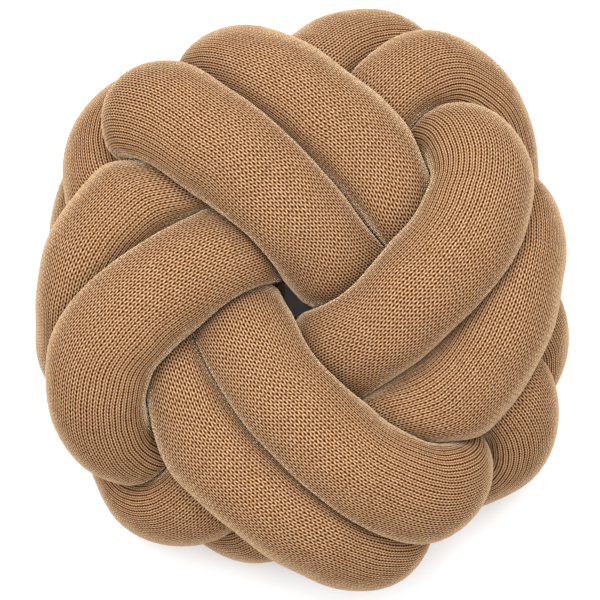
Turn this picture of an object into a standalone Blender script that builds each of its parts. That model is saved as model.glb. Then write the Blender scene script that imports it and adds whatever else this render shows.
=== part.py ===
"""Knot cushion: one long stuffed tube of knitted cloth, tied into a ball-like knot.

The knot is a doubled Turk's head of three leads and four bights. Seen from above it shows
four pairs of passes, each pair lying over the next one, and it lies flat on its back.
Metres, +Z up; the origin is on the floor, under the middle of the knot.
"""

import bpy
import numpy as np

MM = 0.001

# The stuffed tube, in mm.
TUBE_RADIUS = 26.2
PASS_GAP = 2.4            # kept clear between two passes that press on each other
MIDDLE_HEIGHT = 79.0      # from the floor to the middle of the knot
PRESS_SHARPNESS = 10.0    # how squarely a pass turns from its round side to a pressed one
BEND_SHARE = 0.9          # share of the bend radius that the inside of a bend may fill
SWELL_SHARE = 1.0         # how much of what is pressed away comes back as a wider free side
SWELL_REACH = 25.0        # along the tube, over which the filling evens out
OWN_REACH = 80.0          # along the tube, how near counts as the same stretch
TINY = 1e-9               # keeps a division clear of zero on the rays that meet nothing

# Mesh: sections along the tube and points round each.
SECTIONS = 370
SIDES = 16
ROUTE_SAMPLES = 6000

# One bight of the inner track, in twelve even steps: from beside the middle of the top,
# out over the next pair, down round the rim, under, and up again.
# Columns: turn about the upright axis in degrees, reach from it in mm, height in mm from
# the middle of the knot.
BIGHT = (
    (58, 40, 45),
    (96, 74, 58),
    (112, 107, 53),
    (124, 117, 33),
    (135, 103, 2),
    (157, 81, -28),
    (189, 82, -43),
    (213, 103, -45),
    (228, 120, -35),
    (240, 123, -12),
    (247, 101, 7),
    (263, 54, 18),
)
BIGHTS = 4
BIGHT_TURN = 270.0        # from one bight to the next along the tube, in degrees
MATE_TURN = 135.0         # from a track to its mate, which is also upside down
STEPS = len(BIGHT) * BIGHTS
MATE_LAG = len(BIGHT) // 2

# How far each pair leans away from its even place, as (right, back) in mm seen from above.
# Columns: at the top middle, over the next pair, at the rim, under, at the foot, rising.
LEAN = (
    ((-15, 1), (-19, -9), (3, 3), (-1, 4), (-6, 4), (-2, 6)),
    ((1, 4), (-9, 8), (-5, 4), (6, 9), (3, 14), (13, 0)),
    ((-3, 6), (2, 7), (0, -1), (12, 1), (16, 9), (1, 4)),
    ((-14, -2), (-1, 11), (-8, 2), (1, -2), (4, -4), (-1, 0)),
)

# What the mate track leans on top of that, as (right, back, up), in the same rows and columns.
MATE_LEAN = (
    ((2, 2, -6), (3, 0, -3), (3, -6, -4), (0, 0, 0), (2, -4, 0), (0, -3, 0)),
    ((5, -6, -11), (-4, 0, -4), (-3, 0, 0), (0, 0, 0), (-2, 7, 0), (2, 0, 0)),
    ((-1, 2, -5), (2, -3, 5), (5, -9, 2), (0, 0, 0), (-3, 13, 0), (0, 1, 4)),
    ((1, 3, -9), (13, -3, -8), (12, 2, -4), (0, 0, 0), (-3, 0, 0), (0, 0, 0)),
)

# Where the tube passes from the first track to the second, and where its two ends tuck in,
# in steps along the knot. All of it is hidden, where the first pair dives under the others.
SHIFT_FROM = 3.1
SHIFT_TO = 6.1
HEAD_AT = 5.0
TAIL_AT = 4.2

CLOTH_COLOUR = (0.42, 0.26, 0.13, 1.0)
CLOTH_ROUGHNESS = 0.95


def clear_scene():
    for old in list(bpy.data.objects):
        bpy.data.objects.remove(old, do_unlink=True)


def closed_curve(points, places):
    """Read a closed cubic spline through evenly spaced points, at places counted in points.

    The spline's control points are the ones whose weighted mean (1, 4, 1) / 6 is each point.
    """
    count = len(points)
    same = np.eye(count)
    means = (4.0 * same + np.roll(same, 1, axis=0) + np.roll(same, -1, axis=0)) / 6.0
    control = np.linalg.solve(means, points)
    first = np.floor(places).astype(int)
    t = (places - first)[:, None]
    weights = (
        (1.0 - t) ** 3,
        3.0 * t ** 3 - 6.0 * t ** 2 + 4.0,
        -3.0 * t ** 3 + 3.0 * t ** 2 + 3.0 * t + 1.0,
        t ** 3,
    )
    return sum(w * control[(first + k - 1) % count] for k, w in enumerate(weights)) / 6.0


def track_points(is_mate):
    """The points that one track of the knot passes, as an array of (x, y, z) in mm."""
    turn, reach, height = np.tile(np.array(BIGHT, float).T, BIGHTS)
    bight = np.repeat(np.arange(BIGHTS), len(BIGHT))
    angle = np.radians(turn + BIGHT_TURN * bight + (MATE_TURN if is_mate else 0.0))
    points = np.stack(
        (reach * np.cos(angle), reach * np.sin(angle), -height if is_mate else height), axis=1
    )
    lean = np.array(LEAN, float).reshape(-1, 2)
    place = np.arange(STEPS) + (MATE_LAG if is_mate else 0)
    points[:, :2] += closed_curve(lean, place * len(lean) / STEPS)
    if is_mate:
        more = np.array(MATE_LEAN, float).reshape(-1, 3)
        points += closed_curve(more, place * len(more) / STEPS)
    return points


def tube_route():
    """The tube's centre line in mm: once round the first track, over to its mate and round."""
    place = np.linspace(HEAD_AT, 2 * STEPS + TAIL_AT, ROUTE_SAMPLES)
    first = closed_curve(track_points(False), place)
    mate = closed_curve(track_points(True), place - MATE_LAG)
    share = np.clip((place - STEPS - SHIFT_FROM) / (SHIFT_TO - SHIFT_FROM), 0.0, 1.0)[:, None]
    share = share * share * (3.0 - 2.0 * share)
    route = first * (1.0 - share) + mate * share
    route[:, 2] += MIDDLE_HEIGHT
    length = np.concatenate(([0.0], np.cumsum(np.linalg.norm(np.diff(route, axis=0), axis=1))))
    even = np.linspace(0.0, length[-1], SECTIONS + 2)
    return np.stack([np.interp(even, length, route[:, k]) for k in range(3)], axis=1), even


def unit(vectors):
    return vectors / np.linalg.norm(vectors, axis=-1, keepdims=True)


def section_rays(tangents):
    """Unit rays round each section, carried along the tube without twist."""
    side = unit(np.cross(tangents[0], (0.0, 0.0, 1.0)))
    sides = []
    for tangent in tangents:
        side = unit(side - tangent * np.dot(side, tangent))
        sides.append(side)
    sides = np.array(sides)[:, None, :]
    ups = np.cross(tangents[:, None, :], sides)
    angle = np.linspace(0.0, 2.0 * np.pi, SIDES, endpoint=False)[None, :, None]
    return sides * np.cos(angle) + ups * np.sin(angle)


def swell(length, radii):
    """How much wider each section's free side grows, from the area that its presses take.

    The filling that is pressed away fills the free side out, and evens out along the tube.
    """
    turn = 2.0 * np.pi / SIDES
    area = 0.5 * np.sin(turn) * (radii * np.roll(radii, -1, axis=1)).sum(axis=1)
    grown = (np.pi * TUBE_RADIUS ** 2 / area) ** (SWELL_SHARE / 2.0)
    spread = np.exp(-((length[:, None] - length) / SWELL_REACH) ** 2)
    return (spread @ grown / spread.sum(axis=1))[:, None]


def section_radii(route, length, tangents, rays):
    """How far the tube reaches along each ray.

    A free side is round. Where another pass presses, the reach ends half-way between the two
    centre lines, less half the gap, and the free side swells. The inside of a bend stays short
    of the bend's centre, the floor cuts what would reach below it, and the ends are round.
    """
    pressed = np.full(rays.shape[:2], np.inf)
    for other, other_length in zip(route, length):
        is_another_pass = np.abs(length - other_length) > OWN_REACH
        apart = other - route
        distance = np.linalg.norm(apart, axis=1)
        half_way = distance * (distance - PASS_GAP) / 2.0
        towards = np.einsum("ik,ijk->ij", apart, rays)
        reach = half_way[:, None] / np.maximum(towards, TINY)
        pressed = np.where(is_another_pass[:, None], np.minimum(pressed, reach), pressed)
    bend = np.gradient(tangents, length, axis=0)
    inward = np.einsum("ik,ijk->ij", bend, rays)
    pressed = np.minimum(pressed, BEND_SHARE / np.maximum(inward, TINY))
    power = -PRESS_SHARPNESS
    radii = (TUBE_RADIUS ** power + pressed ** power) ** (1.0 / power)
    free = TUBE_RADIUS * swell(length, radii)
    radii = (free ** power + pressed ** power) ** (1.0 / power)
    from_end = np.minimum(length, length[-1] - length)
    ends = np.sqrt(1.0 - np.clip(1.0 - from_end / TUBE_RADIUS, 0.0, 1.0) ** 2)
    radii = radii * ends[:, None]
    floor = route[:, 2:] / np.maximum(-rays[:, :, 2], TINY)
    return np.minimum(radii, floor)


def tube_faces(rings, sides):
    """Quads between neighbouring rings, and a fan of triangles to a pole at each end."""
    faces = []
    head = rings * sides
    tail = head + 1
    for ring in range(rings - 1):
        near = ring * sides
        far = near + sides
        for a in range(sides):
            b = (a + 1) % sides
            faces.append((near + a, near + b, far + b, far + a))
    last = (rings - 1) * sides
    for a in range(sides):
        b = (a + 1) % sides
        faces.append((head, b, a))
        faces.append((tail, last + a, last + b))
    return faces


def cloth_material():
    material = bpy.data.materials.new("knit_cloth")
    material.use_nodes = True
    shader = material.node_tree.nodes["Principled BSDF"]
    shader.inputs["Base Color"].default_value = CLOTH_COLOUR
    shader.inputs["Roughness"].default_value = CLOTH_ROUGHNESS
    shader.inputs["Metallic"].default_value = 0.0
    return material


def make_knot():
    """The knotted tube as one closed body."""
    route, length = tube_route()
    tangents = unit(np.gradient(route, axis=0))
    rays = section_rays(tangents)
    radii = section_radii(route, length, tangents, rays)
    skin = route[:, None, :] + rays * radii[:, :, None]
    rings = skin[1:-1]
    points = np.concatenate((rings.reshape(-1, 3), route[:1], route[-1:]))
    middle = (points.min(axis=0) + points.max(axis=0)) / 2.0
    points[:, :2] -= middle[:2]
    points[:, 2] = np.maximum(points[:, 2], 0.0)
    mesh = bpy.data.meshes.new("knot_tube")
    mesh.from_pydata((points * MM).tolist(), [], tube_faces(SECTIONS, SIDES))
    mesh.materials.append(cloth_material())
    mesh.shade_smooth()
    knot = bpy.data.objects.new("knot_tube", mesh)
    bpy.context.scene.collection.objects.link(knot)
    return knot


clear_scene()
make_knot()
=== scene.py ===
import bpy
import mathutils
import numpy as np
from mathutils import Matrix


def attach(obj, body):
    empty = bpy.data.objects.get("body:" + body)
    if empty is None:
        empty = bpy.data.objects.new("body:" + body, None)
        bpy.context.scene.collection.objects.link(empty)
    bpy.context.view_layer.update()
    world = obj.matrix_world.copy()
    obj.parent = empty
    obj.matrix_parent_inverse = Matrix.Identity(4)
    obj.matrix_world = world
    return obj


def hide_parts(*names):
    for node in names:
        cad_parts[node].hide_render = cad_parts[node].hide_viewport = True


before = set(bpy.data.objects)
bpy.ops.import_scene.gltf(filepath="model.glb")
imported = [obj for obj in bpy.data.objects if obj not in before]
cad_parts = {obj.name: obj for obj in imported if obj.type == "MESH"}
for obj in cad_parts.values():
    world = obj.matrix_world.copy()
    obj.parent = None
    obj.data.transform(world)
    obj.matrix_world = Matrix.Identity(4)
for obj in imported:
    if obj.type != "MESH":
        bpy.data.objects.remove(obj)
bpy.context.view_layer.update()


# ---- The tied tube -------------------------------------------------------------------------
# One tube of fine plain knit in tan yarn, some 55 mm across and 4.2 m long, stuffed with fibre
# and tied as a doubled Turk's head. Nothing is sewn on; its two ends are tucked in the knot.

MM = 0.001                # lengths in this section are in millimetres
TUBE_RADIUS = 26.2
PASS_GAP = 0.6            # left between two passes that press on each other
MIDDLE_HEIGHT = 79.0      # from the floor to the middle of the knot
PRESS_SHARPNESS = 9.0     # how squarely a pass turns from its round side to a pressed one
BEND_SHARE = 0.9          # share of the bend radius that the inside of a bend may fill
SWELL_SHARE = 1.0         # how much of what is pressed away comes back as a wider free side
SWELL_REACH = 25.0        # along the tube, over which the filling evens out
OWN_REACH = 80.0          # along the tube, how near counts as the same stretch
NEAR = 3.0 * TUBE_RADIUS  # no pass farther off than this can press
TINY = 1e-9               # keeps a division clear of zero on the rays that meet nothing
SECTIONS = 1250           # rings of points along the tube
SIDES = 72                # points round each ring
ROUTE_SAMPLES = 9000      # points at which the centre line is read before it is made even

# One bight of the inner track in twelve even steps: turn about the upright axis in degrees,
# reach from it, and height from the middle of the knot. These numbers and those of LEAN were
# worked out by a fitting program from outlines read off the photo, in whole millimetres. A
# part of them was changed afterwards.
BIGHT = (
    (58, 40, 45),
    (96, 74, 58),
    (112, 107, 53),
    (124, 117, 33),
    (135, 103, 2),
    (157, 81, -28),
    (189, 82, -43),
    (213, 103, -45),
    (228, 120, -35),
    (240, 123, -12),
    (247, 101, 7),
    (263, 54, 18),
)
BIGHTS = 4
BIGHT_TURN = 270.0        # from one bight to the next along the tube, in degrees
MATE_TURN = 135.0         # from a track to its mate, which is also upside down
STEPS = len(BIGHT) * BIGHTS
MATE_LAG = len(BIGHT) // 2

# How far each pair leans away from its even place, as (right, back) seen from above: at the
# top middle, over the next pair, at the rim, under, at the foot, rising.
LEAN = (
    ((-15, 1), (-19, -9), (3, 3), (-1, 4), (-6, 4), (-2, 6)),
    ((1, 4), (-9, 8), (-5, 4), (6, 9), (3, 14), (13, 0)),
    ((-3, 6), (2, 7), (0, -1), (12, 1), (16, 9), (1, 4)),
    ((-14, -2), (-1, 11), (-8, 2), (1, -2), (4, -4), (-1, 0)),
)

# What the mate track leans on top of that, as (right, back, up). It came after a like fit and
# keeps some of its numbers.
MATE_LEAN = (
    ((2, 2, -6), (3, 0, -3), (3, -6, -4), (0, 0, 0), (2, -4, 0), (0, -3, 0)),
    ((5, -6, -11), (-4, 0, -4), (-3, 0, 0), (0, 0, 0), (-2, 7, 0), (2, 0, 0)),
    ((-1, 2, -5), (2, -3, 5), (5, -9, 2), (0, 0, 0), (-3, 13, 0), (0, 1, 4)),
    ((1, 3, -9), (13, -3, -8), (12, 2, -4), (0, 0, 0), (-3, 0, 0), (0, 0, 0)),
)

# Where the tube goes over from the first track to its mate, and where its ends are, in steps.
SHIFT_FROM = 3.1
SHIFT_TO = 6.1
HEAD_AT = 5.0
TAIL_AT = 4.2

# The filling's soft unevenness: (height, wave length along the tube, waves round it, start).
LUMPS = (
    (0.35, 47.0, 1, 0.4),
    (0.35, 83.0, 2, 2.1),
    (0.30, 131.0, 3, 4.0),
    (0.20, 29.0, -2, 1.3),
)

# The knit: ribs round the tube, and the length of one course of stitches. The cloth is drawn up
# round a bend, so that courses stay about as long on its outside and bunch on its inside.
WALES = 55
COURSE = 3.25
CROWDING = 1.4            # power of the outside's stretch by which the courses crowd


def closed_curve(points, places):
    """A closed cubic spline through evenly spaced points, read at places counted in points.

    Its control points are those whose weighted mean (1, 4, 1) / 6 is each given point.
    """
    count = len(points)
    same = np.eye(count)
    means = (4.0 * same + np.roll(same, 1, axis=0) + np.roll(same, -1, axis=0)) / 6.0
    control = np.linalg.solve(means, points)
    first = np.floor(places).astype(int)
    t = (places - first)[:, None]
    weights = (
        (1.0 - t) ** 3,
        3.0 * t ** 3 - 6.0 * t ** 2 + 4.0,
        -3.0 * t ** 3 + 3.0 * t ** 2 + 3.0 * t + 1.0,
        t ** 3,
    )
    return sum(w * control[(first + k - 1) % count] for k, w in enumerate(weights)) / 6.0


def track_points(is_mate):
    """The points one track passes: each bight is the first turned on, and a mate is its track
    turned and upside down. The leans are a closed spline too, added to x and y."""
    turn, reach, height = np.tile(np.array(BIGHT, float).T, BIGHTS)
    bight = np.repeat(np.arange(BIGHTS), len(BIGHT))
    angle = np.radians(turn + BIGHT_TURN * bight + (MATE_TURN if is_mate else 0.0))
    points = np.stack(
        (reach * np.cos(angle), reach * np.sin(angle), -height if is_mate else height), axis=1
    )
    lean = np.array(LEAN, float).reshape(-1, 2)
    place = np.arange(STEPS) + (MATE_LAG if is_mate else 0)
    points[:, :2] += closed_curve(lean, place * len(lean) / STEPS)
    if is_mate:
        more = np.array(MATE_LEAN, float).reshape(-1, 3)
        points += closed_curve(more, place * len(more) / STEPS)
    return points


def tube_route():
    """The tube's centre line at even lengths: once round the first track, then over to its
    mate by a smooth step, and once round that."""
    place = np.linspace(HEAD_AT, 2 * STEPS + TAIL_AT, ROUTE_SAMPLES)
    first = closed_curve(track_points(False), place)
    mate = closed_curve(track_points(True), place - MATE_LAG)
    share = np.clip((place - STEPS - SHIFT_FROM) / (SHIFT_TO - SHIFT_FROM), 0.0, 1.0)[:, None]
    share = share * share * (3.0 - 2.0 * share)
    route = first * (1.0 - share) + mate * share
    route[:, 2] += MIDDLE_HEIGHT
    length = np.concatenate(([0.0], np.cumsum(np.linalg.norm(np.diff(route, axis=0), axis=1))))
    even = np.linspace(0.0, length[-1], SECTIONS + 2)
    return np.stack([np.interp(even, length, route[:, k]) for k in range(3)], axis=1), even


def unit(vectors):
    """Each vector over its own length."""
    return vectors / np.linalg.norm(vectors, axis=-1, keepdims=True)


def section_rays(tangents):
    """Unit rays round each section: side * cos + up * sin, with side carried without twist."""
    side = unit(np.cross(tangents[0], (0.0, 0.0, 1.0)))
    sides = []
    for tangent in tangents:
        side = unit(side - tangent * np.dot(side, tangent))
        sides.append(side)
    sides = np.array(sides)[:, None, :]
    ups = np.cross(tangents[:, None, :], sides)
    angle = np.linspace(0.0, 2.0 * np.pi, SIDES, endpoint=False)[None, :, None]
    return sides * np.cos(angle) + ups * np.sin(angle)


def evened(length, values):
    """A running mean along the tube, weighted as exp(-(distance / reach)^2)."""
    spread = np.exp(-((length[:, None] - length) / SWELL_REACH) ** 2)
    return (spread @ values / spread.sum(axis=1))[:, None]


def swell(length, radii):
    """How much wider each section's free side grows: (round area / pressed area)^(share / 2)."""
    turn = 2.0 * np.pi / SIDES
    area = 0.5 * np.sin(turn) * (radii * np.roll(radii, -1, axis=1)).sum(axis=1)
    return evened(length, (np.pi * TUBE_RADIUS ** 2 / area) ** (SWELL_SHARE / 2.0))


def section_radii(route, length, tangents, rays):
    """How far the cloth reaches along each ray.

    Free reach: the tube's radius plus a few slow waves for the filling. Pressed reach: half-way
    to each other pass's centre line, less half the gap, and short of the centre of a bend. The
    two are joined as (free^-p + pressed^-p)^(-1/p). The ends are round, and the floor is flat.
    """
    angle = np.linspace(0.0, 2.0 * np.pi, SIDES, endpoint=False)[None, :]
    along = 2.0 * np.pi * length[:, None]
    free = TUBE_RADIUS + sum(
        height * np.sin(along / wave + waves * angle + start)
        for height, wave, waves, start in LUMPS
    )
    pressed = np.full(rays.shape[:2], np.inf)
    for other, other_length in zip(route, length):
        is_another_pass = np.abs(length - other_length) > OWN_REACH
        near = is_another_pass & (np.linalg.norm(other - route, axis=1) < NEAR)
        apart = (other - route)[near]
        distance = np.linalg.norm(apart, axis=1)
        half_way = distance * (distance - PASS_GAP) / 2.0
        towards = np.einsum("ik,ijk->ij", apart, rays[near])
        reach = half_way[:, None] / np.maximum(towards, TINY)
        pressed[near] = np.minimum(pressed[near], reach)
    bend = np.gradient(tangents, length, axis=0)
    inward = np.einsum("ik,ijk->ij", bend, rays)
    pressed = np.minimum(pressed, BEND_SHARE / np.maximum(inward, TINY))
    power = -PRESS_SHARPNESS
    radii = (free ** power + pressed ** power) ** (1.0 / power)
    free = free * swell(length, radii)
    radii = (free ** power + pressed ** power) ** (1.0 / power)
    from_end = np.minimum(length, length[-1] - length)
    ends = np.sqrt(1.0 - np.clip(1.0 - from_end / TUBE_RADIUS, 0.0, 1.0) ** 2)
    radii = radii * ends[:, None]
    floor = route[:, 2:] / np.maximum(-rays[:, :, 2], TINY)
    return np.minimum(radii, floor)


def wale_numbers(rings):
    """Which wale each point of a ring lies on: its share of the ring's girth times the number
    of wales, slid so that the ring's mean keeps its place and the ribs don't spiral."""
    steps = np.linalg.norm(np.roll(rings, -1, axis=1) - rings, axis=2)
    girth = np.concatenate((np.zeros((len(rings), 1)), np.cumsum(steps, axis=1)), axis=1)
    share = girth / girth[:, -1:]
    even = np.linspace(0.0, 1.0, SIDES + 1)
    return WALES * (share - (share - even)[:, :-1].mean(axis=1, keepdims=True))


def ring_faces(rings, sides):
    """Quads between rings, then a fan of triangles to a pole at each end, as corner arrays."""
    ring, side = np.meshgrid(np.arange(rings - 1), np.arange(sides), indexing="ij")
    after = (side + 1) % sides
    quads = np.stack(
        (ring * sides + side, ring * sides + after, (ring + 1) * sides + after,
         (ring + 1) * sides + side), axis=-1
    ).reshape(-1, 4)
    side = np.arange(sides)
    after = (side + 1) % sides
    last = (rings - 1) * sides
    head = np.stack((np.full(sides, rings * sides), after, side), axis=-1)
    tail = np.stack((np.full(sides, rings * sides + 1), last + side, last + after), axis=-1)
    return quads, np.concatenate((head, tail))


def tied_tube():
    """The whole tube as one closed skin: each ring is its centre plus its rays times its radii.

    It has its wales and courses as a UV map, and how long its courses are as an attribute. The
    place of the knot's own axis is given as well, because the knot's box is what is centred.
    """
    route, length = tube_route()
    tangents = unit(np.gradient(route, axis=0))
    rays = section_rays(tangents)
    radii = section_radii(route, length, tangents, rays)
    rings = (route[:, None, :] + rays * radii[:, :, None])[1:-1]
    points = np.concatenate((rings.reshape(-1, 3), route[:1], route[-1:]))
    middle = (points.min(axis=0) + points.max(axis=0)) / 2.0
    points[:, :2] -= middle[:2]
    points[:, 2] = np.maximum(points[:, 2], 0.0)
    quads, fans = ring_faces(SECTIONS, SIDES)
    mesh = bpy.data.meshes.new("tied_tube")
    mesh.from_pydata((points * MM).tolist(), [], quads.tolist() + fans.tolist())

    # UV: x counts wales, y counts courses. The last side of a ring runs on to the full count.
    wales = wale_numbers(rings)
    step = length[1] - length[0]
    stretch = np.linalg.norm(np.gradient(rings, axis=0), axis=2) / step
    crowd = evened(length[1:-1], stretch.max(axis=1)) ** CROWDING
    courses = np.cumsum(crowd) * step / COURSE
    corner = np.zeros((SECTIONS - 1, SIDES, 4, 2))
    corner[..., 0, 0] = wales[:-1, :-1]
    corner[..., 1, 0] = wales[:-1, 1:]
    corner[..., 2, 0] = wales[1:, 1:]
    corner[..., 3, 0] = wales[1:, :-1]
    corner[..., :2, 1] = courses[:-1, None, None]
    corner[..., 2:, 1] = courses[1:, None, None]
    flat = np.concatenate((corner.reshape(-1, 2), np.zeros((len(fans) * 3, 2))))
    layer = mesh.uv_layers.new(name="knit")
    layer.data.foreach_set("uv", flat.ravel())

    # How long a course is at each point, as a share of COURSE.
    values = np.concatenate(((stretch / crowd).ravel(), (1.0, 1.0)))
    mesh.attributes.new("course_share", "FLOAT", "POINT").data.foreach_set("value", values)
    mesh.shade_smooth()
    tube = bpy.data.objects.new("tied_tube", mesh)
    bpy.context.scene.collection.objects.link(tube)
    return tube, -middle[:2] * MM


class Field:
    """A number that varies over the cloth. It wraps a shader socket, and arithmetic on it adds
    Math nodes, so that 1 - field reads as it does on numbers."""

    def __init__(self, tree, socket):
        self.tree = tree
        self.socket = socket

    @classmethod
    def node(cls, tree, kind, settings=None, inputs=None, output=0):
        """A new node's output. Its settings are set first, such as a ramp's stops, and then its
        sockets, by name or place."""
        node = tree.nodes.new(kind)
        for name, value in (settings or {}).items():
            if name == "stops":
                Field.set_stops(node.color_ramp.elements, value)
            else:
                setattr(node, name, value)
        for name, value in (inputs or {}).items():
            if isinstance(value, Field):
                tree.links.new(value.socket, node.inputs[name])
            else:
                node.inputs[name].default_value = value
        return cls(tree, node.outputs[output])

    @staticmethod
    def set_stops(elements, stops):
        """Give a ramp its stops, each a position and a colour."""
        while len(elements) < len(stops):
            elements.new(1.0)
        for element, (position, colour) in zip(elements, stops):
            element.position = position
            element.color = colour

    def math(self, operation, *others, first=None):
        """A Math node on this field and others; first, where given, goes before this field."""
        values = ([self] if first is None else [first, self]) + list(others)
        return Field.node(
            self.tree, "ShaderNodeMath", {"operation": operation}, dict(enumerate(values))
        )

    def __add__(self, other):
        return self.math("ADD", other)

    def __radd__(self, other):
        return self.math("ADD", first=other)

    def __sub__(self, other):
        return self.math("SUBTRACT", other)

    def __rsub__(self, other):
        return self.math("SUBTRACT", first=other)

    def __mul__(self, other):
        return self.math("MULTIPLY", other)

    def __rmul__(self, other):
        return self.math("MULTIPLY", first=other)


# Finish: tan yarn, pale on top of a stitch, and painted shade, browner and redder, down into
# the valleys and holes between.
YARN_COLOUR_AND_PAINTED_SHADE = (
    (0.00, (0.50, 0.325, 0.200, 1.0)),
    (0.15, (0.345, 0.209, 0.118, 1.0)),
    (0.30, (0.228, 0.122, 0.058, 1.0)),
    (0.50, (0.120, 0.051, 0.017, 1.0)),
    (0.70, (0.058, 0.018, 0.0032, 1.0)),
    (1.00, (0.020, 0.0045, 0.0005, 1.0)),
)
MEAN_DEPTH = 0.43         # of the places on a stitch, from 0 on top to 1 in a hole
RIB_DEPTH = 0.31          # how far the valleys beside each leg go in
HOLE_DEPTH = 0.44         # how far the holes go below them, where the courses are open
BULGE_DEPTH = 0.11        # how far each leg of yarn stands out half-way between two holes, in the colour only: a painted highlight
BULGE_EVEN = 0.15         # share of that bulge that the whole row has, valleys and all
BUNCH_DEPTH = 0.20        # how much deeper one column gets where the courses are bunched
BUNCH_ROWS = 0.10         # how much deeper its rows of holes get there, in the colour only: painted shade
BUNCHED = 0.55            # share of a course's length at which its holes have closed up
OPEN = 1.0                # share of it at which they are wide open
CLOSED_HOLES = 0.35       # share of the holes' depth that is left where they have closed up
FIBRE_DEPTH = 0.5         # unevenness of the yarn's fibres
FIBRE_SCALE = 1400.0      # of its noise, in waves to a metre
TONE_DEPTH = 0.12         # unevenness from stitch to stitch
TONE_SCALE = 260.0
WANDER = (0.5, 0.9, 0.0)  # how far the rows of stitches wander, in wales and courses
WANDER_SCALE = 70.0
NOISE_DETAIL = 1.0        # octaves that each noise adds
NOISE_MEAN = 0.5          # of every noise
STITCH_RELIEF = 0.3       # mm, from the bottom of a hole to the top of the yarn
YARN_ROUGHNESS = 0.9
YARN_GLOSS = 0.0          # the yarn has no clear highlight of its own
FUZZ_AMOUNT = 1.0         # of the loose fibres that catch the light at the tube's edges
FUZZ_SPREAD = 0.16        # how far in from an edge they still show
FUZZ_COLOUR = (1.0, 0.73, 0.46, 1.0)


def unevenness(tree, place, scale, output="Fac"):
    """Soft noise that stays with the cloth, about its mean value."""
    inputs = {"Vector": place, "Scale": scale, "Detail": NOISE_DETAIL}
    return Field.node(tree, "ShaderNodeTexNoise", {}, inputs, output)


def knit_cloth():
    """Plain knit, seen as a staggered lattice of oval holes between pale legs of yarn.

    With u in wales and v in courses, across = cos(2 pi u), along = cos(2 pi v) and
    ribs = cos(4 pi u). The depth below the top of the yarn is the sum of
    mean + rib depth * ribs, the valleys beside each leg,
    hole depth * across * along, holes in two columns to a wale, half a course apart,
    bunch depth * closed * across, which deepens one column where courses are bunched,
    bunch rows * closed * along, which deepens its rows there,
    - bulge depth * sin(2 pi v) * (evenness - ribs), each leg swelling between two holes,
    and noise for the fibres. The holes shrink as closed goes from 0 to 1. The colour follows
    all of it as painted shade: the yarn's own tan on top, painted darker and redder down into
    the valleys and holes, with a painted highlight on each leg's bulge. The bump leaves out the
    two row terms, which would scallop a steep side, so those are painted only.
    """
    material = bpy.data.materials.new("knit_cloth")
    material.use_nodes = True
    tree = material.node_tree
    place = Field.node(tree, "ShaderNodeTexCoord", output="Object")
    wander = Field.node(
        tree, "ShaderNodeVectorMath", {"operation": "SUBTRACT"},
        {0: unevenness(tree, place, WANDER_SCALE, "Color"), 1: (NOISE_MEAN,) * 3},
    )
    stitch = Field.node(tree, "ShaderNodeUVMap", {"uv_map": "knit"})
    stitch = Field.node(
        tree, "ShaderNodeVectorMath", {"operation": "MULTIPLY_ADD"},
        {0: wander, 1: WANDER, 2: stitch},
    )
    wale = Field.node(tree, "ShaderNodeSeparateXYZ", {}, {0: stitch}, "X")
    course = Field.node(tree, "ShaderNodeSeparateXYZ", {}, {0: stitch}, "Y")
    share = Field.node(
        tree, "ShaderNodeAttribute", {"attribute_name": "course_share"}, {}, "Fac"
    )
    opened = Field.node(
        tree, "ShaderNodeMapRange", {}, {"Value": share, "From Min": BUNCHED, "From Max": OPEN}
    )
    tone = unevenness(tree, place, TONE_SCALE)
    fibre = unevenness(tree, place, FIBRE_SCALE)

    across = (wale * (2.0 * np.pi)).math("COSINE")
    along = (course * (2.0 * np.pi)).math("COSINE")
    rise = (course * (2.0 * np.pi)).math("SINE")
    ribs = 2.0 * across * across - 1.0
    closed = 1.0 - opened
    holes = HOLE_DEPTH * (1.0 - (1.0 - CLOSED_HOLES) * closed)
    relief = RIB_DEPTH * ribs + holes * across * along + BUNCH_DEPTH * closed * across
    relief = relief + FIBRE_DEPTH * (fibre - NOISE_MEAN)
    # The row terms go into the colour only, not the bump: a painted highlight on each leg's
    # bulge, and painted shade in the rows of holes where the courses bunch.
    rows = BUNCH_ROWS * closed * along - BULGE_DEPTH * rise * (BULGE_EVEN - ribs)
    depth = MEAN_DEPTH + relief + rows
    # The ramp paints shade by depth: the yarn's own tan on top of a stitch, darker and redder
    # down into the valleys and holes.
    colour = Field.node(
        tree, "ShaderNodeValToRGB", {"stops": YARN_COLOUR_AND_PAINTED_SHADE},
        {"Fac": depth + TONE_DEPTH * (tone - NOISE_MEAN)},
    )
    bump = Field.node(
        tree, "ShaderNodeBump", {}, {"Height": 1.0 - relief, "Distance": STITCH_RELIEF * MM}
    )
    shader = tree.nodes["Principled BSDF"]
    tree.links.new(colour.socket, shader.inputs["Base Color"])
    tree.links.new(bump.socket, shader.inputs["Normal"])
    shader.inputs["Roughness"].default_value = YARN_ROUGHNESS
    shader.inputs["Specular IOR Level"].default_value = YARN_GLOSS
    shader.inputs["Sheen Weight"].default_value = FUZZ_AMOUNT
    shader.inputs["Sheen Roughness"].default_value = FUZZ_SPREAD
    shader.inputs["Sheen Tint"].default_value = FUZZ_COLOUR
    return material


tube, knot_axis = tied_tube()
tube.data.materials.append(knit_cloth())
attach(tube, "root")
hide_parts("knot_tube")


# ---- The studio ----------------------------------------------------------------------------
# A plain pale floor that runs well past the view, even light from all round, one broad lamp
# above, and the camera straight over the knot. None of it is part of the cushion.

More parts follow.
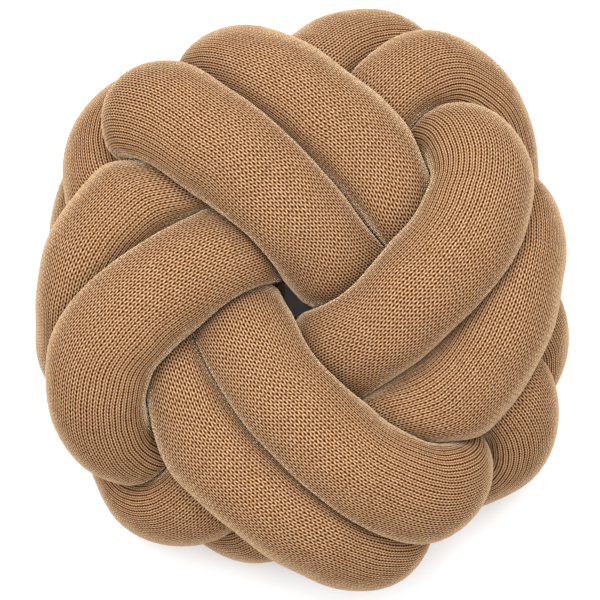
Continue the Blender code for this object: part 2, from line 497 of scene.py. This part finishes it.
FLOOR_SIZE = 6.0          # metres, as all lengths in this section
FLOOR_DROP = 0.0002       # below the cushion's flat places, so that the two don't share a plane
FLOOR_COLOUR = (0.85, 0.85, 0.85, 1.0)
FLOOR_ROUGHNESS = 0.8
floor_mesh = bpy.data.meshes.new("floor")
half = FLOOR_SIZE / 2.0
floor_mesh.from_pydata(
    [(-half, -half, 0.0), (half, -half, 0.0), (half, half, 0.0), (-half, half, 0.0)], [],
    [(0, 1, 2, 3)],
)
floor = bpy.data.objects.new("floor", floor_mesh)
floor.location.z = -FLOOR_DROP
bpy.context.scene.collection.objects.link(floor)
floor_paint = bpy.data.materials.new("floor_paint")
floor_paint.use_nodes = True
floor_shader = floor_paint.node_tree.nodes["Principled BSDF"]
floor_shader.inputs["Base Color"].default_value = FLOOR_COLOUR
floor_shader.inputs["Roughness"].default_value = FLOOR_ROUGHNESS
floor_mesh.materials.append(floor_paint)

ROOM_COLOUR = (1.0, 1.0, 1.0, 1.0)
ROOM_LIGHT = 0.95
world = bpy.data.worlds.new("studio")
world.use_nodes = True
room = world.node_tree.nodes["Background"]
room.inputs["Color"].default_value = ROOM_COLOUR
room.inputs["Strength"].default_value = ROOM_LIGHT
bpy.context.scene.world = world

LAMP_SIZE = 1.5
LAMP_POWER = 47.0         # watts
LAMP_PLACE = (-0.08, 0.42, 1.65)
LAMP_TARGET = (0.0, 0.0, 0.08)
lamp = bpy.data.lights.new("overhead", "AREA")
lamp.shape = "DISK"
lamp.size = LAMP_SIZE
lamp.energy = LAMP_POWER
lamp_object = bpy.data.objects.new("overhead", lamp)
lamp_object.location = LAMP_PLACE
lamp_aim = mathutils.Vector(LAMP_TARGET) - lamp_object.location
lamp_object.rotation_euler = lamp_aim.to_track_quat("-Z", "Y").to_euler()
bpy.context.scene.collection.objects.link(lamp_object)

CAMERA_HEIGHT = 1.579     # straight above the knot's own axis
LENS = 168.9              # millimetres, as the sensor's width is
SENSOR_WIDTH = 36.0
camera = bpy.data.cameras.new("camera")
camera.sensor_width = SENSOR_WIDTH
camera.lens = LENS
camera_object = bpy.data.objects.new("camera", camera)
camera_object.location = (knot_axis[0], knot_axis[1], CAMERA_HEIGHT)
bpy.context.scene.collection.objects.link(camera_object)
bpy.context.scene.camera = camera_object
bpy.context.scene.view_settings.view_transform = "Standard"
